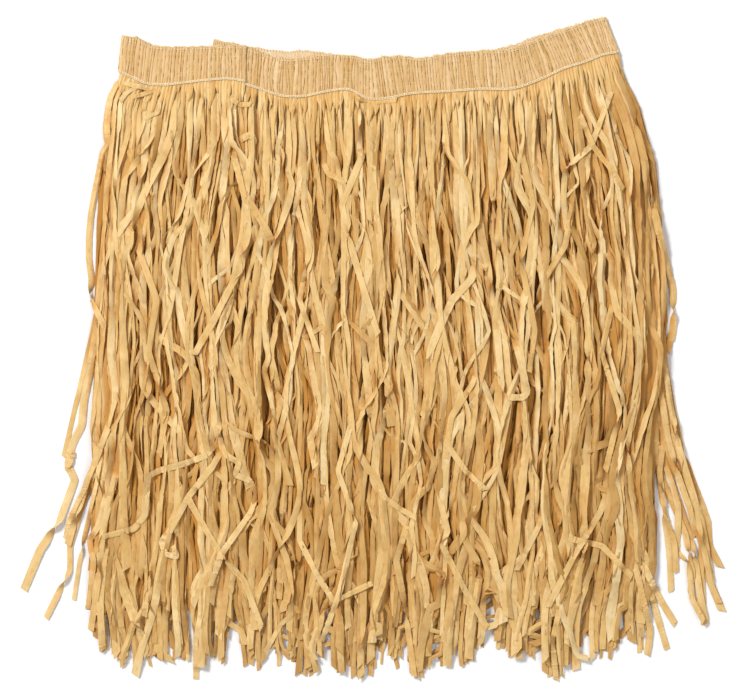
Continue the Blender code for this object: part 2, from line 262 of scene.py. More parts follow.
def pileCell(x, y):
    ix = np.clip(((x + pile["halfX"]) / pile["cell"]).astype(int), 0, pile["nx"] - 1)
    iy = np.clip(((y + pile["halfY"]) / pile["cell"]).astype(int), 0, pile["ny"] - 1)
    return iy, ix


def soften(line, reach):
    # a ribbon bridges the dips below it: the highest nearby, then a running mean
    padded = np.pad(line, 1, mode="edge")
    high = np.maximum(np.maximum(padded[:-2], padded[1:-1]), padded[2:])
    weights = np.hanning(2 * reach + 3)[1:-1]
    return np.convolve(np.pad(high, reach, mode="edge"), weights / weights.sum(), mode="valid")


def dropRibbon(x, y, width, roll, bulk, reach, under=None):
    # lays one ribbon on the pile; under gives where it still runs below earlier ones
    tx, ty = np.gradient(x), np.gradient(y)
    size = np.maximum(np.hypot(tx, ty), 1e-9)
    sideX, sideY = -ty / size, tx / size
    heights = []
    for part in (-0.42, 0.0, 0.42):
        heights.append(pile["top"][pileCell(x + sideX * width * part, y + sideY * width * part)])
    low, mid, high = heights
    tilt = np.clip((high - low) / width, -0.6, 0.6) * 0.7
    base = np.maximum(mid, (low + high) / 2)
    if under is not None:
        deeper = pile["middle"][pileCell(x, y)]
        base = deeper + (base - deeper) * under
    z = soften(base, reach) + 0.3 * np.abs(np.sin(roll)) * width + 0.2 * mm
    pressed = np.clip(1 - z / pile["tallest"], 0.0, 1.0)
    fine = np.linspace(0, len(x) - 1, len(x) * 4)
    order = np.arange(len(x))
    fx, fy, fz, fw, fb = (np.interp(fine, order, v) for v in (x, y, z, width, bulk * pressed))
    fsx, fsy, fr = (np.interp(fine, order, v) for v in (sideX, sideY, np.cos(roll)))
    seen = np.ones(len(fine)) if under is None else np.interp(fine, order, under)
    raised = np.where(seen > 0.5, fz + fb, 0.0)
    for part in (-0.5, -0.25, 0.0, 0.25, 0.5):
        wide = fw * np.maximum(np.abs(fr), 0.35) * part
        cell = pileCell(fx + fsx * wide, fy + fsy * wide)
        pile["top"][cell] = np.maximum(pile["top"][cell], raised)
        pile["seen"][cell] = np.maximum(pile["seen"][cell], fz)
    return z, tilt, sideX, sideY


ribbonSides = np.array([-1.0, 0.0, 1.0])


def ribbonRings(x, y, z, width, roll, crease, skew, crumple, sideX, sideY, cut):
    # three points at each row: the two edges, and the crease that stands up between them
    points = np.zeros((len(x), 3, 3))
    for k, part in enumerate(ribbonSides):
        out = part * width / 2 + (skew * width / 2 if k == 1 else 0.0)
        rise = crumple[:, k] + (crease * width / 2 if k == 1 else 0.0)
        points[:, k, 0] = x + sideX * (out * np.cos(roll) - rise * np.sin(roll))
        points[:, k, 1] = y + sideY * (out * np.cos(roll) - rise * np.sin(roll))
        points[:, k, 2] = z + out * np.sin(roll) + rise * np.cos(roll)
    squeezed = points[:, :, 2] - pile["loose"]
    points[:, :, 2] -= 0.5 * np.maximum(squeezed, 0.0)
    # the tip is cut at a slant
    points[-1, 0, :2] += cut * width[-1] * np.array([sideY[-1], -sideX[-1]])
    points[-1, 2, :2] -= cut * width[-1] * np.array([sideY[-1], -sideX[-1]])
    low = points[:, :, 2].min(axis=1)
    points[:, :, 2] += np.maximum(0.15 * mm - low, 0.0)[:, None]
    return points


def gridPiece(name, columns, rows):
    # a flat grid under its own name, to be shaped point by point
    deselectAll()
    bpy.ops.mesh.primitive_grid_add(x_subdivisions=columns - 1, y_subdivisions=rows - 1, size=1)
    piece = bpy.context.object
    piece.name = name
    piece.data.name = name
    piece.data.uv_layers[0].name = "OFBake"
    return piece


def giveValues(mesh, key, values):
    layer = mesh.attributes.new(key, "FLOAT", "POINT")
    layer.data.foreach_set("value", values.astype(np.float32).ravel())


def triangles(mesh):
    return sum(len(p.vertices) - 2 for p in mesh.polygons)


def tubePiece(name, points, extras):
    # closed tubes, one for each row of points: rings joined along a grid that is merged round
    count, rows, ring = points.shape[:3]
    columns = count * (ring + 1)
    piece = gridPiece(name, columns, rows)
    mesh = piece.data
    # parked side by side, a metre apart, with the last column of each tube on its first
    turn = np.pi - 2 * np.pi * np.arange(ring + 1) / ring
    place = np.zeros((rows, count, ring + 1, 3))
    place[..., 0] = np.arange(count)[None, :, None] + 0.3 * np.cos(turn)
    place[..., 1] = np.arange(rows)[:, None, None]
    place[..., 2] = 0.3 * np.sin(turn)
    mesh.vertices.foreach_set("co", place.astype(np.float32).ravel())
    corners = np.zeros(len(mesh.loops), np.int32)
    mesh.loops.foreach_get("vertex_index", corners)
    column = corners.reshape(-1, 4) % columns
    between = column.min(axis=1) % (ring + 1) == ring
    bpy.ops.object.mode_set(mode="EDIT")
    bpy.ops.mesh.select_mode(type="FACE")
    bpy.ops.mesh.select_all(action="DESELECT")
    bpy.ops.object.mode_set(mode="OBJECT")
    mesh.polygons.foreach_set("select", between)
    bpy.ops.object.mode_set(mode="EDIT")
    bpy.ops.mesh.delete(type="FACE")
    bpy.ops.mesh.select_mode(type="VERT")
    bpy.ops.mesh.select_all(action="SELECT")
    bpy.ops.mesh.remove_doubles(threshold=0.01)
    bpy.ops.mesh.select_all(action="SELECT")
    bpy.ops.mesh.fill_holes(sides=ring)
    bpy.ops.mesh.select_all(action="SELECT")
    bpy.ops.mesh.normals_make_consistent(inside=False)
    bpy.ops.object.mode_set(mode="OBJECT")
    # each point's parked place says which tube, row and corner it is
    parked = np.zeros(len(mesh.vertices) * 3, np.float32)
    mesh.vertices.foreach_get("co", parked)
    parked = parked.reshape(-1, 3)
    tube = np.round(parked[:, 0]).astype(int)
    row = np.round(parked[:, 1]).astype(int)
    angle = np.arctan2(parked[:, 2], parked[:, 0] - tube)
    corner = np.round((np.pi - angle) * ring / (2 * np.pi)).astype(int) % ring
    mesh.vertices.foreach_set("co", points[tube, row, corner].astype(np.float32).ravel())
    for key, values in extras.items():
        giveValues(mesh, key, values[tube, row, corner])
    mesh.update()
    capUvs(mesh)
    print(name, "tubes", count, "triangles", triangles(mesh))
    return piece


def capUvs(mesh):
    # the end faces take the pattern places of the sides that they close
    uvs = np.zeros(len(mesh.loops) * 2, np.float32)
    mesh.uv_layers[0].data.foreach_get("uv", uvs)
    uvs = uvs.reshape(-1, 2)
    corners = np.zeros(len(mesh.loops), np.int32)
    mesh.loops.foreach_get("vertex_index", corners)
    known = np.abs(uvs).sum(axis=1) > 0
    atPoint = np.zeros((len(mesh.vertices), 2), np.float32)
    atPoint[corners[known]] = uvs[known]
    uvs[~known] = atPoint[corners[~known]]
    mesh.uv_layers[0].data.foreach_set("uv", uvs.ravel())


def creased(piece, angle):
    # crisp along its folds, smooth elsewhere
    deselectAll()
    piece.select_set(True)
    bpy.context.view_layer.objects.active = piece
    bpy.ops.object.shade_smooth_by_angle(angle=math.radians(angle))


def fanPlace(lane, down):
    # near the band only the outermost grass spreads, lower down all of it
    left = np.interp(down, fan["down"], fan["left"]) * mm
    right = np.interp(down, fan["down"], fan["right"]) * mm
    topLeft, topRight = fan["left"][0] * mm, fan["right"][0] * mm
    power = 1 + 8 * easeIn(1 - down / 0.55)
    lane = np.clip(lane, 0.0, 1.0)
    spread = (left - topLeft) * (1 - lane) ** power + (right - topRight) * lane**power
    return skirtShift[0] + topLeft + lane * (topRight - topLeft) + spread


# The line that the lowest tips reach, and the partings above it, in the photograph's pixels:
# each parting's place across, half its width and the height at which it starts
hem = fromPixels(
    (
        (82, 612), (92, 645), (104, 658), (120, 665), (142, 674), (160, 676), (176, 666), (196, 679),
        (216, 668), (231, 656), (256, 671), (276, 664), (290, 675), (306, 677), (322, 668), (338, 671),
        (362, 678), (386, 667), (398, 664), (414, 680), (430, 668), (450, 670), (470, 660), (490, 648),
        (510, 662), (530, 664), (556, 680), (580, 668), (600, 664), (634, 660), (655, 640), (685, 590),
    )
)
partings = (
    (109, 2.5, 622),
    (169, 3.5, 634),
    (235, 5.5, 622),
    (286, 3.0, 626),
    (328, 4.5, 616),
    (377, 3.0, 628),
    (405, 4.0, 612),
    (436, 4.0, 626),
    (490, 5.5, 606),
    (537, 4.5, 622),
    (584, 3.5, 630),
    (622, 4.0, 618),
)


def parted(x, fallen, rootY):
    # ribbons step aside where the grass parts
    for across, half, start in partings:
        middle, top = fromPixels([(across, start)])[0]
        reach = 1.15 * half * photo["pixel"] * easeIn((fallen - (rootY - top)) / (40 * mm) + 0.5)
        apart = x - middle
        x = x + np.where(apart < 0, -1, 1) * reach * np.exp(-np.abs(apart) / (3.5 * half * photo["pixel"]))
    return x


def neighbours(rng, lane, knots, samples):
    # a smooth random field, much the same for ribbons that lie near each other
    table = smoothNoise(rng, knots, 5, samples)
    spot = lane * (knots - 1)
    i = np.clip(spot.astype(int), 0, knots - 2)
    t = easeIn(spot - i)[:, None]
    return table[i] * (1 - t) + table[i + 1] * t


def ribbonValues(tone, along, width, shadedSlit):
    # what the paper reads at the three points of each row
    shape = (*width.shape, 3)
    return {
        "tone": np.broadcast_to(tone, shape),
        "along": np.broadcast_to(along[..., None], shape),
        "across": np.broadcast_to(ribbonSides, shape) * width[:, :, None] / 2,
        "shadedSlit": np.broadcast_to(shadedSlit, shape),
    }


def layGrass(settings):
    # random ribbons of one layer, laid on the pile from its settings
    rng = np.random.default_rng(settings["seed"])
    count, rows = settings["count"], settings["rows"]
    samples, longest = 300, fan["longest"]
    far = np.linspace(0.0, longest, samples)
    down = np.clip(far / fan["fall"], 0, 1)
    lane = (np.arange(count) + 0.5 + rng.uniform(-0.3, 0.3, count)) / count
    # each ribbon's lean along its length: slow, quick and in sharp kinks
    lean = settings["lean"] * smoothNoise(rng, count, 7, samples)
    lean += settings["wiggle"] * smoothNoise(rng, count, 26, samples)
    for _ in range(settings["kinks"]):
        start = rng.uniform(0.05, 0.95, count)[:, None] * longest
        span = rng.uniform(10, 55, count)[:, None] * mm
        angle = rng.normal(0, settings["kinkLean"], count)[:, None]
        lean += np.where((far > start) & (far < start + span), angle, 0.0)
    lean *= 0.25 + 0.75 * easeIn(far / (130 * mm))
    inner = np.clip(12 * lane * (1 - lane), 0, 1)[:, None]
    lean *= 0.45 + 0.55 * inner
    lean *= 1 + settings["tousled"] * easeIn((down - 0.6) / 0.15) * easeIn((0.95 - down) / 0.12)
    # the tips splay, each its own way
    splayed = np.random.default_rng(settings["seed"] + 100).normal(0, settings["splay"], count)
    lean += splayed[:, None] * easeIn((down - 0.64) / 0.2)
    step = far[1]
    aside = np.cumsum(np.sin(lean), axis=1) * step
    wide = (np.interp(down, fan["down"], fan["right"]) - np.interp(down, fan["down"], fan["left"])) * mm
    spill = settings["spill"] * rng.uniform(0.2, 1.8, count)[:, None]
    roomRight = np.minimum(settings["reach"], (1 - lane)[:, None] * wide + spill)
    roomLeft = np.minimum(settings["reach"], lane[:, None] * wide + spill)
    aside = np.where(
        aside > 0, roomRight * np.tanh(aside / roomRight), -roomLeft * np.tanh(-aside / roomLeft)
    )
    x = fanPlace(lane[:, None], down[None, :]) + aside
    late = easeIn(far / (150 * mm))
    for knots, reach in settings["clumps"]:
        x += reach * late * inner * neighbours(rng, lane, knots, samples)
    # bundles: the ribbons crowd together here and part there
    phase = 2 * np.pi * settings["bundles"] * lane[:, None] + 3.2 * neighbours(rng, lane, 14, samples)
    crowding = settings["bundling"] * late * (1 - 0.75 * easeIn((down - 0.74) / 0.2))
    x += crowding * inner * wide * np.sin(phase) / (2 * np.pi * settings["bundles"])
    rootY = np.interp(x[:, 0], *settings["edge"]) - settings["tuck"]
    x = parted(x, far[None, :], rootY[:, None])
    dx = np.diff(x, axis=1)
    dy = np.sqrt(np.maximum(step**2 - dx**2, (0.35 * step) ** 2))
    fallen = np.concatenate([np.zeros((count, 1)), np.cumsum(dy, axis=1)], axis=1)
    y = rootY[:, None] - fallen
    lowest = np.interp(x[:, 250], hem[:, 0], hem[:, 1]) + settings["raised"] - 2 * mm
    lowest = lowest + settings["ragged"] * np.abs(np.clip(rng.normal(0, 1, count), -2.5, 2.5))
    length = np.array([np.interp(-lowest[i], -y[i], far) for i in range(count)])
    short = rng.random(count) < settings["short"]
    length = np.where(short, length * rng.uniform(0.55, 0.95, count), length)
    at = np.linspace(0.0, 1.0, rows)[None, :] * length[:, None]
    x = np.array([np.interp(at[i], far, x[i]) for i in range(count)])
    y = np.array([np.interp(at[i], far, y[i]) for i in range(count)])
    uneven = np.clip(rng.normal(0, settings["widthSpread"], count), -0.4, 0.26)
    width = settings["width"] * np.exp(uneven)[:, None]
    width = width * (1 + 0.14 * smoothNoise(rng, count, 22, rows))
    opening = easeIn((at / length[:, None] - 0.6) / 0.3)
    folded = settings["folded"] * (1 - 0.7 * opening)
    width = width * (1 - folded * easeIn(1.6 * smoothNoise(rng, count, 8, rows)))
    width = width * (1 + settings["opening"] * opening)
    width = width * (settings["rootWidth"] + (1 - settings["rootWidth"]) * easeIn(at / (45 * mm)))
    roll = settings["roll"] * smoothNoise(rng, count, 12, rows) * easeIn(at / (60 * mm))
    roll *= 1 - 0.7 * opening
    roll += np.pi * rng.integers(0, 2, count)[:, None]
    for _ in range(3):
        turned = (rng.random(count) < settings["twisted"]) * rng.choice((-1, 1), count)
        place = rng.uniform(0.08, 0.97, count)[:, None] * length[:, None]
        span = rng.uniform(18, 60, count)[:, None] * mm
        roll += np.pi * turned[:, None] * easeIn((at - place) / span + 0.5)
    crease = 0.12 + settings["crease"] * np.abs(smoothNoise(rng, count, 9, rows))
    crease += 0.35 * easeIn(1 - at / (40 * mm))
    skew = 0.45 * smoothNoise(rng, count, 12, rows)
    tone = rng.normal(settings["tone"], 0.9, count)
    # darker half way down, and paler again at the tips
    darker = 1.2 * easeIn((at - 200 * mm) / (220 * mm)) - 1.1 * easeIn((at - 425 * mm) / (80 * mm))
    tone = tone[:, None, None] - darker[:, :, None]
    bulk = 0.1 * mm + (settings["bulk"] - 0.1 * mm) * easeIn(at / (110 * mm))
    bulk *= 1 - 0.85 * opening
    bulk *= 0.5 + 0.5 * inner
    points = np.zeros((count, rows, 3, 3))
    for i in rng.permutation(count):
        crumple = settings["crumple"] * rng.normal(0, 1, (rows, 3))
        z, tilt, sideX, sideY = dropRibbon(x[i], y[i], width[i], roll[i], bulk[i], settings["stiff"])
        near = easeIn(1.3 - at[i] / (15 * mm))
        z = np.minimum(z, z * (1 - near) + fan["rootTop"] * near)
        points[i] = ribbonRings(
            x[i], y[i], z, width[i], roll[i] + tilt, crease[i], skew[i], crumple, sideX, sideY,
            rng.uniform(-0.55, 0.55),
        )
    along = at + 10 * rng.random((count, 1))
    # painted shade along both edges of each ribbon near the band, in the slits between them
    shadedSlit = 0.45 * ribbonSides**2 * easeIn(1 - at / (32 * mm))[:, :, None]
    return points, ribbonValues(tone, along, width, shadedSlit)


def evenly(points, spacing):
    steps = np.linalg.norm(np.diff(points, axis=0), axis=1)
    far = np.concatenate([[0.0], np.cumsum(steps)])
    place = np.linspace(0.0, far[-1], max(3, int(far[-1] / spacing)))
    return np.stack([np.interp(place, far, points[:, k]) for k in range(2)], axis=1)


def rounded(points, reach):
    # straight runs with slightly rounded kinks between them, as folded paper has
    dense = evenly(points, mm)
    span = max(3, int(reach / mm)) | 1
    weights = np.hanning(span + 2)[1:-1]
    weights /= weights.sum()
    half = span // 2
    ends = np.pad(dense, ((half, half), (0, 0)), mode="reflect", reflect_type="odd")
    return np.stack([np.convolve(ends[:, k], weights, mode="valid") for k in range(2)], axis=1)


# Ribbons that stand out in the photograph: width, then the places that show, in its pixels.
# "on" says that the ribbon goes back under the others at its end.
looseRibbons = (
    (
        5.5, "on", (110, 143), (103, 153), (100, 168), (95, 192), (91, 215), (89, 240), (89, 260),
        (92, 280), (90, 295), (98, 312), (110, 335),
    ),
    (7.5, "on", (117, 84), (111, 97), (108, 112), (107, 128), (108, 141), (112, 149)),
    (
        7, "end", (97, 330), (88, 380), (84, 400), (82, 425), (72, 445), (68, 465), (75, 480),
        (60, 520), (40, 550), (24, 590),
    ),
    (5, "end", (97, 440), (96, 470), (84, 500), (70, 545), (70, 570), (46, 618)),
    (4, "end", (102, 455), (97, 486), (86, 530), (80, 560), (74, 600)),
    (5.5, "end", (108, 490), (100, 525), (90, 540), (95, 560), (88, 609)),
    (6, "end", (108, 540), (104, 570), (101, 600), (103, 650)),
    (6, "on", (652, 205), (660, 240), (667, 265), (673, 290), (673, 330), (667, 352)),
    (
        6, "end", (663, 352), (667, 380), (672, 409), (680, 444), (692, 480), (702, 505), (708, 522),
        (709, 545), (720, 567),
    ),
    (
        6, "end", (663, 372), (667, 399), (677, 447), (688, 480), (700, 515), (705, 544), (706, 572),
        (722, 611),
    ),
    (5.5, "end", (661, 400), (667, 443), (680, 476), (693, 515), (701, 543), (701, 572), (704, 624)),
    (5.5, "end", (658, 420), (665, 457), (674, 488), (686, 524), (694, 553), (699, 591), (706, 624)),
    (5, "end", (656, 440), (663, 480), (673, 505), (685, 533), (692, 572), (690, 591), (703, 619)),
    (5.5, "end", (664, 392), (669, 430), (681, 462), (692, 495), (701, 520), (706, 548), (711, 580)),
    (5, "end", (661, 400), (668, 452), (680, 484), (697, 519), (703, 548), (711, 585), (719, 603)),
    (5, "end", (664, 462), (672, 484), (678, 507), (677, 552), (688, 563), (692, 600), (703, 621)),
    (5.5, "end", (655, 452), (661, 488), (663, 507), (667, 534), (670, 562), (671, 591)),
    (5.5, "on", (664, 366), (671, 410), (679, 450), (690, 486), (698, 512)),
    (5.5, "on", (660, 392), (667, 436), (677, 474), (689, 508), (695, 536)),
    (5, "end", (663, 440), (659, 472), (661, 488), (665, 515), (674, 543), (676, 572)),
    (6, "end", (640, 559), (651, 582), (661, 601), (675, 624)),
    (5.5, "end", (650, 590), (657, 616), (667, 649)),
    (5.5, "end", (633, 560), (643, 600), (650, 630), (647, 655)),
    (6, "end", (118, 470), (106, 520), (100, 570), (96, 600), (91, 630)),
    (6, "end", (112, 420), (96, 462), (88, 480), (80, 505), (68, 545)),
    (4.5, "on", (102, 478), (91, 473), (86, 487), (78, 502), (70, 519), (65, 538)),
    (4, "on", (64, 456), (74, 452), (71, 463), (66, 468), (74, 476)),
    (6, "end", (233, 150), (247, 205), (249, 230), (242, 268), (230, 290), (215, 320), (195, 355)),
    (6, "on", (240, 185), (252, 205), (262, 222), (270, 236), (274, 250)),
    (5.5, "end", (365, 150), (342, 206), (352, 250), (360, 277), (378, 335)),
    (5, "end", (612, 88), (590, 147), (564, 170), (562, 200), (566, 232)),
    (5, "end", (575, 108), (581, 121), (592, 147), (609, 169), (622, 190)),
    (5, "end", (572, 201), (564, 246), (545, 277)),
    (6, "on", (495, 320), (497, 340), (501, 388), (507, 397), (522, 397), (527, 391), (514, 340)),
    (5.5, "on", (476, 372), (472, 383), (451, 416), (445, 451), (447, 470)),
    (5, "end", (446, 430), (448, 446), (465, 470), (485, 489)),
    (5, "end", (378, 480), (384, 496), (400, 508), (416, 517)),
    (
        5.5, "on", (216, 445), (207, 455), (185, 463), (160, 470), (150, 475), (148, 490), (148, 500),
        (147, 520),
    ),
    (5.5, "end", (150, 484), (147, 497), (146, 515), (135, 528), (103, 536)),
    (5.5, "end", (222, 450), (214, 465), (190, 495), (170, 532)),
    (5.5, "end", (185, 488), (192, 503), (221, 553), (245, 580), (262, 628)),
    (5.5, "end", (256, 498), (251, 512), (222, 553), (211, 585)),
    (5.5, "end", (438, 485), (440, 500), (447, 530), (441, 543), (465, 590), (487, 627)),
    (5, "end", (541, 510), (538, 525), (516, 569)),
    (5.5, "end", (604, 498), (599, 512), (574, 552), (547, 606)),
    (5.5, "end", (560, 530), (571, 538), (601, 545), (631, 576)),
    (5, "end", (322, 160), (328, 174), (346, 184)),
    (4, "end", (302, 345), (304, 339), (324, 326)),
    (7, "on", (474, 265), (471, 279), (452, 300), (440, 325), (430, 350), (428, 370)),
    (5, "on", (119, 83), (127, 84.5), (136, 86.5), (146, 88), (154, 91)),
    (5, "end", (157, 90), (149, 93.5), (140, 96), (133, 97.5)),
    (5, "end", (141, 87), (131, 91), (126, 95), (121, 102)),
    (4.5, "on", (149, 93), (146, 104), (144, 113), (141, 124)),
    (4, "on", (158, 97), (161, 106), (159, 114), (152, 116), (146, 121), (152, 124), (159, 121)),
    (5, "end", (228, 91), (232, 100), (240, 105.5), (252, 105.5)),
    (6, "on", (235, 145), (243, 139.5), (251, 135.5), (255, 142), (249, 152)),
    (4, "end", (205, 172), (203, 187), (209, 180)),
    (5, "end", (352, 88), (358, 100), (378, 102), (397, 100)),
    (5, "on", (220, 440), (228, 455), (240, 462), (236, 474), (251, 480), (256, 495)),
    (5, "end", (172, 528), (162, 540), (166, 553), (178, 556), (174, 545)),
    (5, "end", (300, 540), (318, 575), (334, 600), (372, 582)),
    (5.5, "end", (408, 520), (396, 560), (404, 600), (414, 676)),
    (5, "end", (296, 205), (310, 250), (300, 300), (318, 352)),
    (5, "end", (520, 150), (532, 205), (520, 262), (534, 330), (528, 372)),
    (5.5, "end", (140, 250), (158, 300), (150, 352), (168, 410), (160, 455)),
    (5, "end", (612, 300), (600, 352), (618, 410), (604, 470)),
    (5, "end", (352, 420), (338, 470), (356, 520), (340, 590), (322, 640)),
    (5, "end", (560, 600), (552, 640), (556, 680)),
    (5, "end", (204, 600), (196, 640), (196, 679)),
)
loose = {
    "seed": 29,
    "rows": 120,
    "hiddenRows": 26,
    "bulk": 1.2 * mm,
    "proud": 0.7 * mm,
    "crumple": 0.12 * mm,
    "stiff": 5,
    "fade": 14 * mm,
    "rootY": 0.235,
    "longRun": 110 * mm,
}


def layLoose():
    rng = np.random.default_rng(loose["seed"])
    count, rows = len(looseRibbons), loose["rows"]
    points = np.zeros((count, rows, 3, 3))
    distance = np.zeros((count, rows))
    widths = np.zeros((count, rows))
    for i, (wide, ending, *places) in enumerate(looseRibbons):
        shown = fromPixels(places)
        down = np.clip((loose["rootY"] - shown[0, 1]) / fan["fall"], 0, 1)
        left, right = fanPlace(0.0, down), fanPlace(1.0, down)
        lane = np.clip((shown[0, 0] - left) / (right - left), 0.01, 0.99)
        rootX = fanPlace(lane, 0.0)
        root = (rootX, np.interp(rootX, *frontEdge))
        mid = (fanPlace(lane, down / 2), (root[1] + shown[0, 1]) / 2)
        hidden = rounded(np.array([root, mid, shown[0]]), 20 * mm)
        visible = rounded(shown, 7 * mm)
        length = np.linalg.norm(np.diff(hidden, axis=0), axis=1).sum()
        seenLength = np.linalg.norm(np.diff(visible, axis=0), axis=1).sum()
        path = np.concatenate([hidden[:-1], visible])
        far = np.concatenate([[0.0], np.cumsum(np.linalg.norm(np.diff(path, axis=0), axis=1))])
        at = np.concatenate([
            np.linspace(0, length, loose["hiddenRows"], endpoint=False),
            np.linspace(length, far[-1], rows - loose["hiddenRows"]),
        ])
        x, y = (np.interp(at, far, path[:, k]) for k in range(2))
        under = easeIn((at - length) / loose["fade"] + 0.2)
        if ending == "on":
            under *= easeIn((far[-1] - at) / loose["fade"])
        width = 1.15 * wide * photo["pixel"] * (1 + 0.1 * smoothNoise(rng, 1, 9, rows)[0])
        width *= 0.56 + 0.44 * easeIn(at / (45 * mm))
        turns = max(3, int(seenLength / (45 * mm)))
        roll = 0.24 * smoothNoise(rng, 1, turns, rows)[0] + np.pi * rng.integers(0, 2)
        if seenLength > loose["longRun"]:
            place = length + seenLength * rng.uniform(0.35, 0.8)
            roll += np.pi * rng.choice((-1, 1)) * easeIn((at - place) / (30 * mm) + 0.5)
        crease = 0.08 + 0.22 * np.abs(smoothNoise(rng, 1, turns, rows)[0])
        skew = 0.4 * smoothNoise(rng, 1, turns, rows)[0]
        crumple = loose["crumple"] * rng.normal(0, 1, (rows, 3))
        z, tilt, sideX, sideY = dropRibbon(x, y, width, roll, loose["bulk"] * under, loose["stiff"], under)
        z = z + loose["proud"] * under
        near = easeIn(1.3 - (np.interp(x, *frontEdge) - y) / (5 * mm))
        z = np.minimum(z, z * (1 - near) + fan["rootTop"] * near)
        cut = rng.uniform(-0.5, 0.5)
        points[i] = ribbonRings(x, y, z, width, roll + tilt, crease, skew, crumple, sideX, sideY, cut)
        distance[i] = at + 10 * rng.random()
        widths[i] = width
    # a random tone for each loose ribbon, paler on the whole as painted light, since they lie on top
    tone = rng.uniform(-0.2, 1.6, count)[:, None, None]
    return points, ribbonValues(tone, distance, widths, 0.0)


grassBackOuter = {
    "seed": 3,
    "count": 180,
    "rows": 60,
    "lean": 0.22,
    "wiggle": 0.14,
    "kinks": 2,
    "kinkLean": 0.2,
    "tousled": 0.4,
    "splay": 0.07,
    "reach": 22 * mm,
    "spill": 5 * mm,
    "clumps": ((12, 9 * mm), (40, 4 * mm)),
    "bundles": 40,
    "bundling": 0.3,
    "edge": backEdge,
    "tuck": 0.3 * mm,
    "raised": 12 * mm,
    "ragged": 44 * mm,
    "short": 0.05,
    "width": 5.4 * mm,
    "widthSpread": 0.2,
    "folded": 0.45,
    "rootWidth": 0.45,
    "opening": 0.15,
    "roll": 0.3,
    "twisted": 0.2,
    "crease": 0.35,
    "crumple": 0.10 * mm,
    "bulk": 0.35 * mm,
    "tone": 0.0,
    "stiff": 2,
}
grassBackInner = {**grassBackOuter, "seed": 5, "count": 160, "rows": 54, "roll": 0.35, "raised": 32 * mm}
grassFrontInner = {
    **grassBackOuter,
    "seed": 7,
    "count": 230,
    "edge": frontEdge,
    "width": 4.1 * mm,
    "bulk": 0.8 * mm,
    "raised": 8 * mm,
}
grassFrontMiddle = {
    **grassFrontInner,
    "seed": 11,
    "count": 300,
    "rows": 96,
    "width": 3.4 * mm,
    "folded": 0.5,
    "lean": 0.17,
    "wiggle": 0.06,
    "kinks": 7,
    "kinkLean": 0.28,
    "tousled": 0.5,
    "splay": 0.17,
    "bundles": 44,
    "bundling": 0.9,
    "roll": 0.9,
    "twisted": 0.5,
    "crease": 0.5,
    "crumple": 0.16 * mm,
    "bulk": 1.5 * mm,
    "raised": 0.0,
    "ragged": 44 * mm,
    # painted shade: this mostly covered layer is given a darker tone
    "tone": -0.5,
}
grassFrontOuter = {
    **grassFrontMiddle,
    "seed": 17,
    "count": 185,
    "width": 4.3 * mm,
    # painted light: this upper layer is given a slightly paler tone
    "tone": 0.1,
    "rows": 120,
    "lean": 0.20,
    "kinks": 8,
    "kinkLean": 0.31,
    "tousled": 0.6,
    "bundles": 37,
    "bundling": 1.0,
    "crumple": 0.18 * mm,
    "bulk": 2.0 * mm,
}
grassFrontTop = {
    **grassFrontOuter,
    "seed": 23,
    "count": 95,
    "width": 5.4 * mm,
    # painted light: the top layer is given a paler tone
    "tone": 0.85,
    "rows": 130,
    "lean": 0.25,
    "kinks": 10,
    "kinkLean": 0.36,
    "tousled": 0.5,
    "bundles": 30,
    "reach": 32 * mm,
    "short": 0.25,
    "bulk": 2.0 * mm,
}


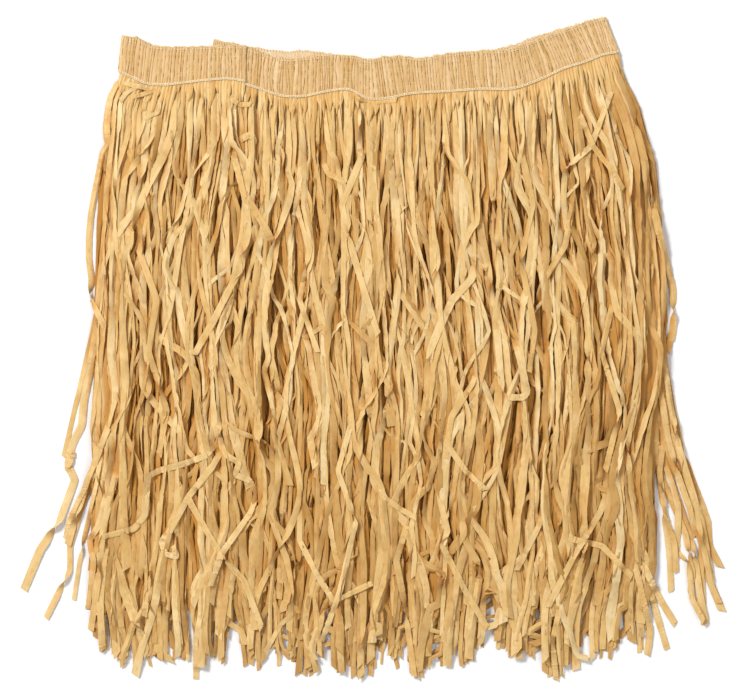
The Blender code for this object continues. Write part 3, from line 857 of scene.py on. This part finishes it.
def paperMaterial(name, settings):
    # crumpled paper ribbon: its own tone, lengthwise fibres, blotches and fine creases
    material = bpy.data.materials.new(name)
    material.use_nodes = True
    nodes, links = material.node_tree.nodes, material.node_tree.links
    shader = nodes["Principled BSDF"]
    shader.inputs["Specular IOR Level"].default_value = settings["gloss"]
    shader.inputs["Specular Tint"].default_value = (1.0, 0.82, 0.55, 1.0)
    shader.inputs["Sheen Weight"].default_value = 0.05
    shader.inputs["Sheen Roughness"].default_value = 0.5
    shader.inputs["Sheen Tint"].default_value = (1.0, 0.72, 0.4, 1.0)

    def attribute(key):
        node = nodes.new("ShaderNodeAttribute")
        node.attribute_name = key
        return node.outputs["Fac"]

    def noiseOf(vector, scale, detail):
        node = nodes.new("ShaderNodeTexNoise")
        node.inputs["Scale"].default_value = scale
        node.inputs["Detail"].default_value = detail
        links.new(vector, node.inputs["Vector"])
        return node.outputs["Fac"]

    def mixed(kind, amount, first, second):
        node = nodes.new("ShaderNodeMix")
        node.data_type = "RGBA"
        node.blend_type = kind
        for socket, value in ((node.inputs[0], amount), (node.inputs[6], first), (node.inputs[7], second)):
            if hasattr(value, "is_output"):
                links.new(value, socket)
            else:
                socket.default_value = value
        return node.outputs[2]

    def ramped(value, stops):
        node = nodes.new("ShaderNodeValToRGB")
        ramp = node.color_ramp
        while len(ramp.elements) < len(stops):
            ramp.elements.new(0.5)
        for element, (place, colour) in zip(ramp.elements, stops):
            element.position = place
            element.color = (*colour, 1.0)
        links.new(value, node.inputs["Fac"])
        return node.outputs["Color"]

    def mapped(value, low, high, toLow, toHigh):
        node = nodes.new("ShaderNodeMapRange")
        for socket, number in zip(list(node.inputs)[1:5], (low, high, toLow, toHigh)):
            socket.default_value = number
        links.new(value, node.inputs["Value"])
        return node.outputs["Result"]

    tone, along, across = attribute("tone"), attribute("along"), attribute("across")

    def lengthwise(acrossScale, alongScale):
        node = nodes.new("ShaderNodeCombineXYZ")
        for socket, value, factor in ((0, across, acrossScale), (1, along, alongScale), (2, tone, 7.0)):
            scaled = nodes.new("ShaderNodeMath")
            scaled.operation = "MULTIPLY"
            scaled.inputs[1].default_value = factor
            links.new(value, scaled.inputs[0])
            links.new(scaled.outputs[0], node.inputs[socket])
        return node.outputs["Vector"]

    fibres = noiseOf(lengthwise(2200.0, 45.0), 1.0, 3.0)
    creases = noiseOf(lengthwise(420.0, 150.0), 1.0, 4.0)
    blotches = noiseOf(lengthwise(60.0, 38.0), 1.0, 2.0)
    colour = ramped(mapped(tone, -2.2, 2.2, 0.0, 1.0), settings["tones"])
    colour = mixed("MULTIPLY", 1.0, colour, ramped(blotches, settings["blotches"]))
    colour = mixed("MULTIPLY", 0.55, colour, ramped(fibres, settings["fibreShade"]))
    colour = mixed("MULTIPLY", 0.5, colour, ramped(creases, settings["creaseShade"]))
    # painted shade: darker and more orange where a point lies below its neighbours, and in the slits
    # between ribbons near the band
    if "paintedShadeTone" in settings:
        colour = mixed("MIX", mapped(attribute("paintedShade"), 0.0, 1.0, 0.0, 0.78), colour, settings["paintedShadeTone"])
    # painted shade in the slits between the band's gathered ridges
    if "paintedSlitShade" in settings:
        colour = mixed("MIX", mapped(attribute("paintedSlitShade"), 0.25, 0.9, 0.0, 0.9), colour, settings["paintedSlitShade"])
    links.new(colour, shader.inputs["Base Color"])
    smoothest, roughest = settings["rough"] - 0.07, settings["rough"] + 0.07
    links.new(mapped(blotches, 0.3, 0.7, smoothest, roughest), shader.inputs["Roughness"])
    relief = mixed("MIX", 0.65, fibres, creases)
    bump = nodes.new("ShaderNodeBump")
    bump.inputs["Strength"].default_value = 0.55
    bump.inputs["Distance"].default_value = settings["relief"]
    links.new(relief, bump.inputs["Height"])
    links.new(bump.outputs["Normal"], shader.inputs["Normal"])
    return material


raffia = {
    "relief": 0.35 * mm,
    "gloss": 0.18,
    "rough": 0.6,
    "tones": (
        (0.00, (0.58, 0.345, 0.120)),
        (0.30, (0.73, 0.455, 0.178)),
        (0.50, (0.82, 0.55, 0.235)),
        (0.72, (0.885, 0.63, 0.30)),
        (1.00, (0.915, 0.71, 0.395)),
    ),
    "blotches": ((0.36, (0.90, 0.84, 0.72)), (0.62, (1.0, 1.0, 1.0))),
    # painted shade: the colour of ribbons that lie below their neighbours
    "paintedShadeTone": (0.52, 0.205, 0.024, 1.0),
    "fibreShade": ((0.25, (0.80, 0.72, 0.58)), (0.60, (1.0, 1.0, 1.0))),
    "creaseShade": ((0.30, (0.76, 0.66, 0.48)), (0.50, (1.0, 1.0, 1.0))),
}
paper = paperMaterial("raffia paper", raffia)
# painted shade: a darker, more orange copy of the raffia paper for the layers that lie under the others
shadedInnerPaper = paperMaterial(
    "inner raffia paper in painted shade",
    {
        **raffia,
        "tones": (
            (0.00, (0.54, 0.300, 0.100)),
            (0.50, (0.67, 0.415, 0.165)),
            (1.00, (0.76, 0.510, 0.225)),
        ),
    },
)
bandPaper = paperMaterial(
    "gathered band paper",
    {
        **raffia,
        "tones": (
            (0.00, (0.70, 0.46, 0.200)),
            (0.50, (0.81, 0.56, 0.295)),
            (1.00, (0.88, 0.66, 0.390)),
        ),
        # painted shade: the colour of the slits between the ridges
        "paintedSlitShade": (0.22, 0.085, 0.014, 1.0),
    },
)
threadShade = {
    "relief": 0.03 * mm,
    "fibreShade": ((0.30, (0.86, 0.82, 0.76)), (0.60, (1.0, 1.0, 1.0))),
    "creaseShade": ((0.30, (0.92, 0.88, 0.84)), (0.50, (1.0, 1.0, 1.0))),
    "blotches": ((0.36, (0.94, 0.92, 0.90)), (0.62, (1.0, 1.0, 1.0))),
}
creamThread = paperMaterial(
    "cream thread",
    {**raffia, **threadShade, "tones": ((0.00, (0.97, 0.83, 0.55)), (1.00, (1.00, 0.92, 0.68)))},
)
tanThread = paperMaterial(
    "tan thread",
    {**raffia, **threadShade, "tones": ((0.00, (0.84, 0.60, 0.31)), (1.00, (0.93, 0.73, 0.44)))},
)
liningPaper = paperMaterial(
    "band's inner face",
    {
        **raffia,
        "tones": (
            (0.00, (0.83, 0.63, 0.420)),
            (1.00, (0.88, 0.72, 0.520)),
        ),
    },
)


def bandFaces():
    # places on the outer face: along the strip, down its height, and the way out of it
    stations, kinds = bandStations()
    top = np.column_stack([stations[:, 0:2], stations[:, 4]])
    low = np.column_stack([stations[:, 2:4], stations[:, 4]])
    middle = (top + low) / 2
    steps = np.linalg.norm(np.diff(middle, axis=0), axis=1)
    along = np.concatenate([[0.0], np.cumsum(steps)])
    forward = np.gradient(middle, axis=0)
    downward = low - top
    outward = np.cross(forward, downward)
    outward /= np.linalg.norm(outward, axis=1)[:, None]
    return top, low, outward, along, kinds


bandTop, bandBottom, bandOut, bandAlong, bandKind = bandFaces()
print("band strip", round(bandAlong[-1] / mm), "mm long, sections", len(bandAlong))


# Gathered ridges of uneven pitch: their edges along the strip, heights and slants
ridgeRandom = np.random.default_rng(41)
ridge = {"count": int(bandAlong[-1] / band["pleat"]) + 6}
ridge["edges"] = np.cumsum(band["pleat"] * ridgeRandom.uniform(0.55, 1.5, ridge["count"]))
ridge["edges"] -= ridge["edges"][0]
ridge["edges"] *= bandAlong[-1] / ridge["edges"][-1]
ridge["tall"] = ridgeRandom.uniform(0.5, 1.0, ridge["count"])
ridge["waver"] = ridgeRandom.uniform(-0.032, 0.022, ridge["count"])
ridge["sway"] = smoothNoise(ridgeRandom, 1, 260, 2000)[0] * 1.3 * mm


def ridgeDrift(along, height):
    # how far the ridges stray sideways from the strip's top to its lower edge
    sway = np.interp(along, np.linspace(0, bandAlong[-1], 2000), ridge["sway"])
    return sway * np.sin(height * 4.2 + along * 90)


def pleatHeight(along, height):
    # pinched where the stitch rows cross the ridges
    place = along - ridgeDrift(along, height)
    i = np.clip(np.searchsorted(ridge["edges"], place, side="right") - 1, 0, ridge["count"] - 2)
    across = (place - ridge["edges"][i]) / (ridge["edges"][i + 1] - ridge["edges"][i])
    bubble = np.abs(np.sin(np.pi * np.clip(across, 0, 1))) ** 0.6
    return bubble * ridge["tall"][i] * pinchAt(height)


def pinchAt(height):
    marks = (0.0, *band["stitchRows"], 1.0)
    nearest = np.min([np.abs(height - mark) for mark in marks], axis=0)
    return 0.35 + 0.65 * easeIn(nearest / 0.06)


def edgeWaver(along):
    # the cut edges waver from ridge to ridge
    middle = (ridge["edges"][:-1] + ridge["edges"][1:]) / 2
    return np.interp(along, middle, ridge["waver"][:-1])


def readBand(along, table):
    return np.stack([np.interp(along, bandAlong, table[:, k]) for k in range(3)], axis=-1)


def onBand(along, height, out):
    # a point over the band's outer face: along the strip, down it and out from it
    along, height, out = np.broadcast_arrays(along, height, out)
    top, low, away = (readBand(along, table) for table in (bandTop, bandBottom, bandOut))
    return top * (1 - height[..., None]) + low * height[..., None] + away * out[..., None]


def onFront(along):
    return np.isin(np.interp(along, bandAlong, bandKind).round(), (0, 4))


def kindAt(along):
    return bandKind[np.clip(np.searchsorted(bandAlong, along), 0, len(bandKind) - 1)]


def ridgeAt(along, height):
    tall = np.where(np.isin(kindAt(along), (0, 4)), band["frontPleatHigh"], band["backPleatHigh"])
    return tall * pleatHeight(along, height)


def threadTubes(paths, radius, sides, across):
    # round thread along each path; across is a direction that no path runs in
    tangent = np.gradient(paths, axis=1)
    tangent /= np.maximum(np.linalg.norm(tangent, axis=-1, keepdims=True), 1e-9)
    first = np.cross(tangent, across)
    first /= np.maximum(np.linalg.norm(first, axis=-1, keepdims=True), 1e-9)
    second = np.cross(first, tangent)
    turn = 2 * np.pi * np.arange(sides) / sides
    rings = first[:, :, None] * np.cos(turn)[:, None] + second[:, :, None] * np.sin(turn)[:, None]
    tubes = paths[:, :, None] + radius * rings
    tubes[..., 2] = np.maximum(tubes[..., 2], band["floorGap"])
    return tubes


def forwardAt(along):
    ahead = onBand(along + 0.5 * mm, 0.5, 0.0) - onBand(along - 0.5 * mm, 0.5, 0.0)
    return ahead / np.linalg.norm(ahead, axis=-1, keepdims=True)


chain = {
    "pitch": 2.15 * mm,
    "width": 1.3 * mm,
    "thread": 0.42 * mm,
    "height": 1.03,
    # one link: how far ahead and how far aside, in pitches and widths
    "ahead": (0, 0.3, 0.72, 1.08, 1.2, 1.08, 0.72, 0.3, 0),
    "aside": (0.02, 0.36, 0.5, 0.34, 0, -0.34, -0.5, -0.36, -0.02),
}


def chainStitch():
    # one link for each stitch, its head over the tail of the next
    count = int(bandAlong[-1] / chain["pitch"])
    start = (np.arange(count) + 0.25) * chain["pitch"]
    ahead, aside = np.array([chain["ahead"], chain["aside"]])
    along = start[:, None] + ahead * chain["pitch"]
    down = chain["height"] + aside * chain["width"] / band["depth"]
    risen = 0.3 + 0.65 * (ahead > 0.6)
    front = onFront(along)
    raised = np.where(front, 0.5 * band["frontPleatHigh"], -0.05 * mm)
    down = np.where(front, down, down - 0.04)
    paths = onBand(along, down, raised + np.where(front, 1.0, -0.5) * risen * mm)
    return threadTubes(paths, chain["thread"], 4, readBand(along, bandOut))


overlock = {
    "pitch": 2.6 * mm,
    "thread": 0.46 * mm,
    "cord": 0.24 * mm,
    "reach": 1.9 * mm,
    # one loop: ahead in pitches, down in reaches, out in millimetres from the front to the inner face
    "ahead": (-0.55, -0.35, -0.1, 0.05, 0.12, 0.2, 0.4),
    "down": (1.0, 0.55, 0.1, -0.28, -0.34, -0.2, 0.5),
    "out": (0.2, 0.45, 0.5, 0.0, -0.75, -1.6, -1.62),
}


def overlockLoops():
    # thread that wraps over the cut edge, from one face to the other
    count = int(bandAlong[-1] / overlock["pitch"])
    rng = np.random.default_rng(47)
    start = (np.arange(count) + 0.5 + rng.uniform(-0.12, 0.12, count)) * overlock["pitch"]
    ahead, down, out = np.array([overlock["ahead"], overlock["down"], overlock["out"]])
    down = np.where(down < 0, down * rng.uniform(0.5, 2.0, (count, 1)), down)
    along = start[:, None] + ahead * overlock["pitch"]
    front = onFront(along)
    lifted = np.where(front, ridgeAt(along, 0.05), 0.0) * (out > 0)
    out = np.where(front, out, np.minimum(out, 0.0))
    down = down * overlock["reach"] / band["depth"] + edgeWaver(along)
    paths = onBand(along, down, lifted + out * mm)
    return threadTubes(paths, overlock["thread"], 4, forwardAt(along))


def edgeCords():
    # the two running threads that hold the overlock loops
    rows = int(bandAlong[-1] / overlock["pitch"] * 4)
    along = np.linspace(0.4 * mm, bandAlong[-1] - 0.4 * mm, rows)
    wave = np.sin(2 * np.pi * along / overlock["pitch"])
    front = onFront(along)
    low = onBand(
        along,
        (overlock["reach"] + 0.25 * mm * wave) / band["depth"] + 0.5 * edgeWaver(along),
        np.where(front, ridgeAt(along, 0.09) + 0.12 * mm, 0.0),
    )
    edge = (-0.3 + 0.22 * wave) * mm / band["depth"] + edgeWaver(along)
    top = onBand(along, edge, -0.35 * mm + 0.3 * mm * wave)
    paths = np.stack([low, top])
    return threadTubes(paths, overlock["cord"], 4, readBand(along, bandOut)[None])


gather = {"pitch": 3.3 * mm, "length": 2.4 * mm, "thread": 0.27 * mm, "arch": (-0.1, 0.12, 0.12, -0.1)}


def gatherStitches():
    # rows of short stitches in raffia-coloured thread, pulled in between the ridges
    rng = np.random.default_rng(53)
    paths = []
    count = int(bandAlong[-1] / gather["pitch"])
    for height in band["stitchRows"]:
        start = (np.arange(count) + rng.uniform(0, 1)) * gather["pitch"]
        along = start[:, None] + np.linspace(0, 1, 4) * gather["length"]
        arch = np.array(gather["arch"]) * mm
        sway = rng.uniform(-0.012, 0.012, (count, 1))
        front = onFront(along)
        out = ridgeAt(along, height) + 0.12 * mm + arch
        paths.append(onBand(along, height + sway, np.where(front, out, np.minimum(out, 0.04 * mm))))
    return threadTubes(np.concatenate(paths), gather["thread"], 3, np.array([0.0, 0.3, 1.0]))


def bandCloth():
    # a column on each slit between two ridges, one beside it on both sides, one on each crest
    rows = band["rows"]
    wide = np.diff(ridge["edges"])[:, None]
    columns = (ridge["edges"][:-1, None] + wide * np.array(band["ridgeColumns"])).ravel()
    columns = np.append(columns, bandAlong[-1])
    cell = np.minimum(np.arange(len(columns)) // len(band["ridgeColumns"]), ridge["count"] - 2)
    shadedSlit = (np.arange(len(columns)) % len(band["ridgeColumns"])) == 0
    crest = (np.arange(len(columns)) % len(band["ridgeColumns"])) == 2
    height = np.linspace(0.0, 1.0, rows)[:, None] * np.ones((1, len(columns)))
    along = np.clip(columns + ridgeDrift(columns[None], height), 0.0, bandAlong[-1])
    along[:, 0] = 0.0
    along[:, -1] = bandAlong[-1]
    rng = np.random.default_rng(43)
    tall = ridge["tall"][cell] * np.where(shadedSlit, 0.0, np.where(crest, 1.0, 0.78))
    tall = tall * (1 + 0.25 * smoothNoise(rng, len(columns), 6, rows).T) * pinchAt(height)
    kind = kindAt(along)
    lowX = np.interp(along, bandAlong, bandBottom[:, 0])
    high = np.where(np.isin(kind, (0, 4)), band["frontPleatHigh"], band["backPleatHigh"])
    high = np.where((kind == 4) & (lowX < bandBottom[0, 0]), band["underlapPleat"], 1.0) * high
    reach = height + edgeWaver(along) * ((height < 0.01) + 0.3 * (height > 0.99))
    points = onBand(along, reach, tall * high)
    points[..., 2] = np.maximum(points[..., 2], band["floorGap"])
    piece = gridPiece("bandCloth", len(columns), rows)
    mesh = piece.data
    mesh.vertices.foreach_set("co", points.astype(np.float32).ravel())
    tones = rng.normal(0, 1, ridge["count"])
    # painted shade in the slits: each slit is shaded where it is open and plain where it is closed, and
    # shaded all along just under the overlock
    openSlitShade = easeIn(0.36 + 1.5 * smoothNoise(rng, len(columns), 11, rows).T)
    openSlitShade = np.where((height > 0.05) & (height < 0.13), 1.0, openSlitShade)
    for key, values in (
        ("tone", np.broadcast_to(tones[cell], along.shape)),
        ("along", height * 30 * mm + 10 * np.sin(cell * 1.7)),
        ("across", along),
        ("paintedSlitShade", np.where(shadedSlit, openSlitShade, 0.0)),
    ):
        giveValues(mesh, key, values)
    mesh.materials.append(bandPaper)
    mesh.materials.append(liningPaper)
    wall = piece.modifiers.new("wall", "SOLIDIFY")
    wall.thickness = band["wall"]
    wall.offset = -1.0
    wall.material_offset = 1
    wall.material_offset_rim = 0
    bpy.ops.object.modifier_apply(modifier="wall")
    creased(piece, 50)
    print("bandCloth triangles", triangles(mesh))
    return piece


def dressSewing(name, points, material):
    shape = points.shape[:3]
    count, rows, ring = shape
    tone = np.random.default_rng(59).normal(0, 1, count)
    values = {
        "tone": np.broadcast_to(tone[:, None, None], shape),
        "along": np.broadcast_to(np.linspace(0, rows * mm, rows)[None, :, None], shape),
        "across": np.broadcast_to(np.linspace(0, mm, ring), shape),
    }
    piece = tubePiece(name, points, values)
    creased(piece, 60)
    piece.data.materials.append(material)
    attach(piece, "root")
    return piece


sewing = [
    dressSewing("chainStitch", chainStitch(), creamThread),
    dressSewing("overlockLoops", overlockLoops(), tanThread),
    dressSewing("edgeCords", edgeCords(), creamThread),
    dressSewing("gatherStitches", gatherStitches(), tanThread),
]

bandPiece = bandCloth()
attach(bandPiece, "root")
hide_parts("waistband")


def highAround(heights, reach):
    # the highest nearby, softened
    for axis in (0, 1):
        for _ in range(reach):
            beside = np.maximum(np.roll(heights, 1, axis), np.roll(heights, -1, axis))
            heights = np.maximum(heights, beside)
        for _ in range(reach):
            heights = (np.roll(heights, 1, axis) + heights + np.roll(heights, -1, axis)) / 3
    return heights


def paintedDepthShade(points):
    # painted shade: how far below its neighbours on the finished pile each point lies, as an amount of
    # darkening
    above = pile["around"][pileCell(points[..., 0], points[..., 1])] - points[..., 2]
    return 0.3 * easeIn((above - 0.3 * mm) / mm) + 0.7 * np.clip((above - mm) / (3 * mm), 0.0, 1.0)


roots = {
    "seed": 61,
    "rows": 16,
    "above": 0.1 * mm,
    "length": (9, 36),
    "crest": 0.75,
    "highest": 0.85 * mm,
    "height": 0.985,
    "sunk": 1.1 * mm,
    "blend": 12 * mm,
    "tone": (0.6, 0.6),
}


def layRoots():
    # the gathered ridges of the front run on below the chain, and open into the strands
    rng = np.random.default_rng(roots["seed"])
    middle = (ridge["edges"][:-1] + ridge["edges"][1:]) / 2
    wide = np.diff(ridge["edges"])
    kind = kindAt(middle)
    lapX = bandBottom[0, 0]
    lowX = np.interp(middle, bandAlong, bandBottom[:, 0])
    shown = (kind == 0) | ((kind == 4) & (lowX > lapX - mm))
    middle, wide = middle[shown], wide[shown]
    count, rows = len(middle), roots["rows"]
    start = onBand(middle, roots["height"], 0.9 * band["frontPleatHigh"])
    lane = (start[:, 0] - fanPlace(0.0, 0.0)) / (fanPlace(1.0, 0.0) - fanPlace(0.0, 0.0))
    length = rng.uniform(*roots["length"], count) * mm
    down = np.linspace(0.0, 1.0, rows)
    points = np.zeros((count, rows, 3, 3))
    widths = np.zeros((count, rows))
    for i in rng.permutation(count):
        fallen = down * length[i]
        x = fanPlace(np.clip(lane[i], 0.004, 0.996), fallen / fan["fall"])
        x = x - x[0] + start[i, 0] + rng.normal(0, 2.0) * mm * down**1.5
        y = start[i, 1] + roots["above"] - fallen
        width = wide[i] * rng.uniform(0.9, 1.5) * (1.06 - 0.25 * down)
        width = width * (1 - 0.75 * easeIn((down - 0.55) / 0.45))
        roll = np.zeros(rows)
        crease = np.minimum(roots["crest"] * (1 - 0.5 * down), 2 * roots["highest"] / width)
        z, tilt, sideX, sideY = dropRibbon(x, y, width, roll, 0.1 * mm + roll, 1)
        near = easeIn(1.3 - fallen / roots["blend"])
        z = z * (1 - near) + (start[i, 2] - roots["sunk"]) * near
        crumple = 0.05 * mm * rng.normal(0, 1, (rows, 3))
        points[i] = ribbonRings(x, y, z, width, roll, crease, roll, crumple, sideX, sideY, 0.0)
        widths[i] = width
    tone = rng.normal(*roots["tone"], count)[:, None, None]
    along = down[None, :] * 30 * mm + 10 * rng.random((count, 1))
    # painted shade along both edges of each root ridge, in the slits between them
    shadedSlit = ribbonSides**2 * (0.36 - 0.15 * down)[:, None]
    return points, ribbonValues(tone, along, widths, shadedSlit)


def dressGrass(name, laid, node, slot):
    points, extras = laid
    shadedSlit = extras.pop("shadedSlit")
    below = np.interp(points[..., 0], *frontEdge) - points[..., 1]
    # painted shade: darker where a point lies below its neighbours, with less of it just under the band
    # and at the hem; the painted shade of the slits goes on top
    paintedShade = paintedDepthShade(points) * (0.2 + 0.8 * easeIn((below - 10 * mm) / (50 * mm)))
    paintedShade = paintedShade * (1 - 0.65 * easeIn((below - 420 * mm) / (60 * mm)))
    piece = tubePiece(name, points, {**extras, "paintedShade": np.maximum(paintedShade, shadedSlit)})
    creased(piece, 32)
    piece.data.materials.append(paper if slot == "raffia_front" else shadedInnerPaper)
    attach(piece, "root")
    if node:
        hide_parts(node)
    return piece


laidBackOuter = layGrass(grassBackOuter)
laidBackInner = layGrass(grassBackInner)
pile["top"] = np.maximum(pile["top"], pile["ledge"] * (pile["top"] > 0))
laidFrontInner = layGrass(grassFrontInner)
laidFrontMiddle = layGrass(grassFrontMiddle)
gridX = np.linspace(-pile["halfX"], pile["halfX"], pile["nx"])
gridY = np.linspace(-pile["halfY"], pile["halfY"], pile["ny"])
below = np.interp(gridX, *frontEdge)[None, :] - gridY[:, None]
level = np.where(below > -2 * mm, pile["ledge"] * easeIn(1 - below / (34 * mm)), 0.0)
pile["top"] = np.where(pile["top"] > 0, np.maximum(pile["top"], level), pile["top"])
pile["middle"] = pile["top"].copy()
laidFrontOuter = layGrass(grassFrontOuter)
laidFrontTop = layGrass(grassFrontTop)
laidRoots = layRoots()
laidLoose = layLoose()
print("heights", np.percentile(pile["seen"][pile["seen"] > 0], (25, 50, 75, 90, 97, 99.5)) / mm)
pile["seen"] -= 0.5 * np.maximum(pile["seen"] - pile["loose"], 0.0)
pile["around"] = highAround(pile["seen"], 2)
print("pile height", round(float(pile["seen"].max()) / mm, 1))
grass = [
    dressGrass("grassBackOuter", laidBackOuter, "grass_back_outer", "raffia_inner"),
    dressGrass("grassBackInner", laidBackInner, "grass_back_inner", "raffia_inner"),
    dressGrass("grassFrontInner", laidFrontInner, "grass_front_inner", "raffia_inner"),
    dressGrass("grassFrontMiddle", laidFrontMiddle, None, "raffia_front"),
    dressGrass("grassFrontOuter", laidFrontOuter, "grass_front_outer", "raffia_front"),
    dressGrass("grassFrontTop", laidFrontTop, None, "raffia_front"),
    dressGrass("grassRoots", laidRoots, None, "raffia_front"),
    dressGrass("grassLoose", laidLoose, None, "raffia_front"),
]

# Floor, light and camera
floorLook = {"size": 12.0, "colour": (0.98, 0.98, 0.98, 1.0), "roughness": 0.9}
deselectAll()
bpy.ops.mesh.primitive_plane_add(size=floorLook["size"], location=(0, 0, -0.1 * mm))
floor = bpy.context.object
floor.name = "floor"
floorPaint = bpy.data.materials.new("pale floor")
floorPaint.use_nodes = True
floorInputs = floorPaint.node_tree.nodes["Principled BSDF"].inputs
floorInputs["Base Color"].default_value = floorLook["colour"]
floorInputs["Roughness"].default_value = floorLook["roughness"]
floor.data.materials.append(floorPaint)

lamps = {
    "key": {"place": (-2.7, 2.5, 3.9), "size": 1.5, "power": 244},
    "fill": {"place": (1.8, -1.2, 4.8), "size": 4.4, "power": 70},
}
for name, lamp in lamps.items():
    bpy.ops.object.light_add(type="AREA", location=lamp["place"])
    light = bpy.context.object
    light.name = name + "Light"
    light.data.shape = "DISK"
    light.data.size = lamp["size"]
    light.data.energy = lamp["power"]
    light.rotation_euler = (-Vector(lamp["place"])).to_track_quat("-Z", "Y").to_euler()

studioLook = {"colour": (1.0, 1.0, 1.0, 1.0), "strength": 0.30}
world = bpy.data.worlds.new("studio")
world.use_nodes = True
worldInputs = world.node_tree.nodes["Background"].inputs
worldInputs["Color"].default_value = studioLook["colour"]
worldInputs["Strength"].default_value = studioLook["strength"]
bpy.context.scene.world = world
bpy.context.scene.view_settings.view_transform = "Standard"

camera = {"height": 2.6, "sensor": 36.0}
lookAt = fromPixels([(photo["viewX"], photo["viewY"])])[0]
bpy.ops.object.camera_add(location=(lookAt[0], lookAt[1], camera["height"]), rotation=(0, 0, 0))
view = bpy.context.object
view.name = "photoCamera"
view.data.sensor_width = camera["sensor"]
view.data.lens = camera["sensor"] * camera["height"] / (photo["width"] * photo["pixel"])
bpy.context.scene.camera = view
